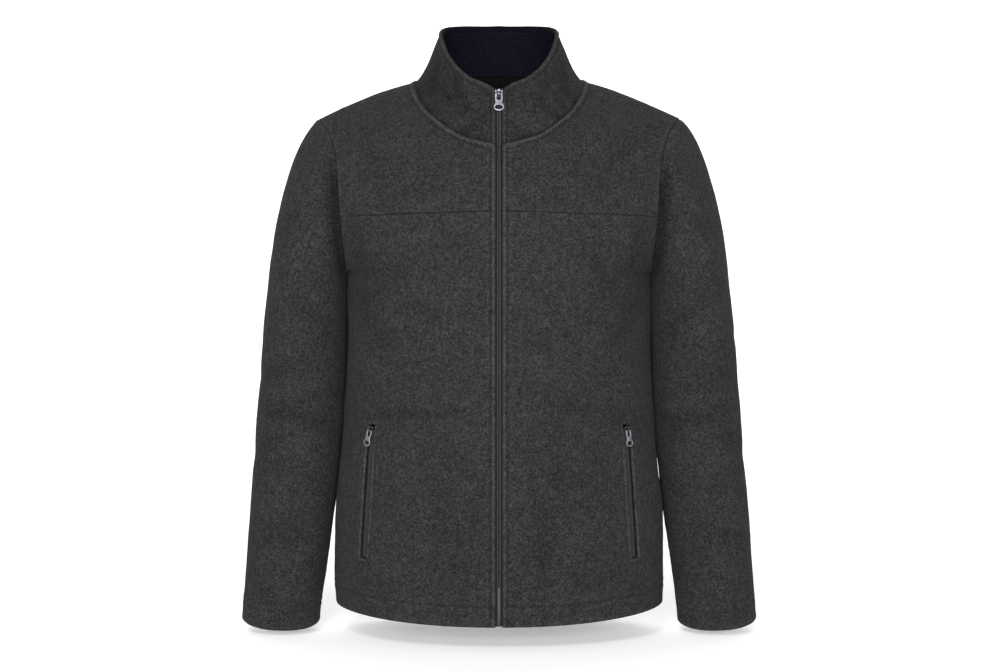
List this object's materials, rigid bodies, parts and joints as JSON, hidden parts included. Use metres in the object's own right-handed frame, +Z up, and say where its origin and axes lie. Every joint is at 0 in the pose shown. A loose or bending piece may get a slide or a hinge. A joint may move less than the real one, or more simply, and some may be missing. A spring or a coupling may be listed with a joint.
{
  "type": "fleece zip jacket",
  "caption": "Hollow fleece jacket filled out as worn, with a stand collar, full front zip, set-in sleeves and zipped hand pockets with swinging pulls.",
  "frame": {"origin": "between the wearer's shoulders, midway between the two sides of the neck and at their height", "axes": "+X to the wearer's left, -Y to the wearer's front, +Z up"},
  "size_m": [0.6688, 0.268, 0.7955],
  "materials": {
    "fleece": "brushed charcoal marl fleece",
    "collar_facing": "navy fleece",
    "zip_tape": "woven tape with a nylon coil",
    "zip_metal": "satin gunmetal plating"
  },
  "bodies": {
    "jacket": {"front_left": "fleece", "front_right": "fleece", "yoke_left": "fleece", "yoke_right": "fleece", "back": "fleece", "sleeve_left": "fleece", "sleeve_right": "fleece", "collar": "fleece", "collar_facing": "collar_facing", "zip_tape_left": "zip_tape", "zip_tape_right": "zip_tape", "pocket_zip_left": "zip_tape", "pocket_zip_right": "zip_tape", "zip_slider": "zip_metal", "pocket_slider_left": "zip_metal", "pocket_slider_right": "zip_metal"},
    "main_pull": {"zip_pull": "zip_metal"},
    "left_pocket_pull": {"pocket_pull_left": "zip_metal"},
    "right_pocket_pull": {"pocket_pull_right": "zip_metal"}
  },
  "joints": [
    {"name": "main_pull_swing", "type": "hinge", "parent": "jacket", "child": "main_pull", "pos_m": [0, -0.07223, -0.02356], "axis": [-1, 0, 0], "range_deg": [0, 150]},
    {"name": "left_pocket_pull_swing", "type": "hinge", "parent": "jacket", "child": "left_pocket_pull", "pos_m": [0.1612, -0.08245, -0.44534], "axis": [-0.7413, -0.6598, -0.1232], "range_deg": [0, 150]},
    {"name": "right_pocket_pull_swing", "type": "hinge", "parent": "jacket", "child": "right_pocket_pull", "pos_m": [-0.1612, -0.08245, -0.44534], "axis": [-0.7124, 0.6449, 0.2768], "range_deg": [0, 150]}
  ]
}
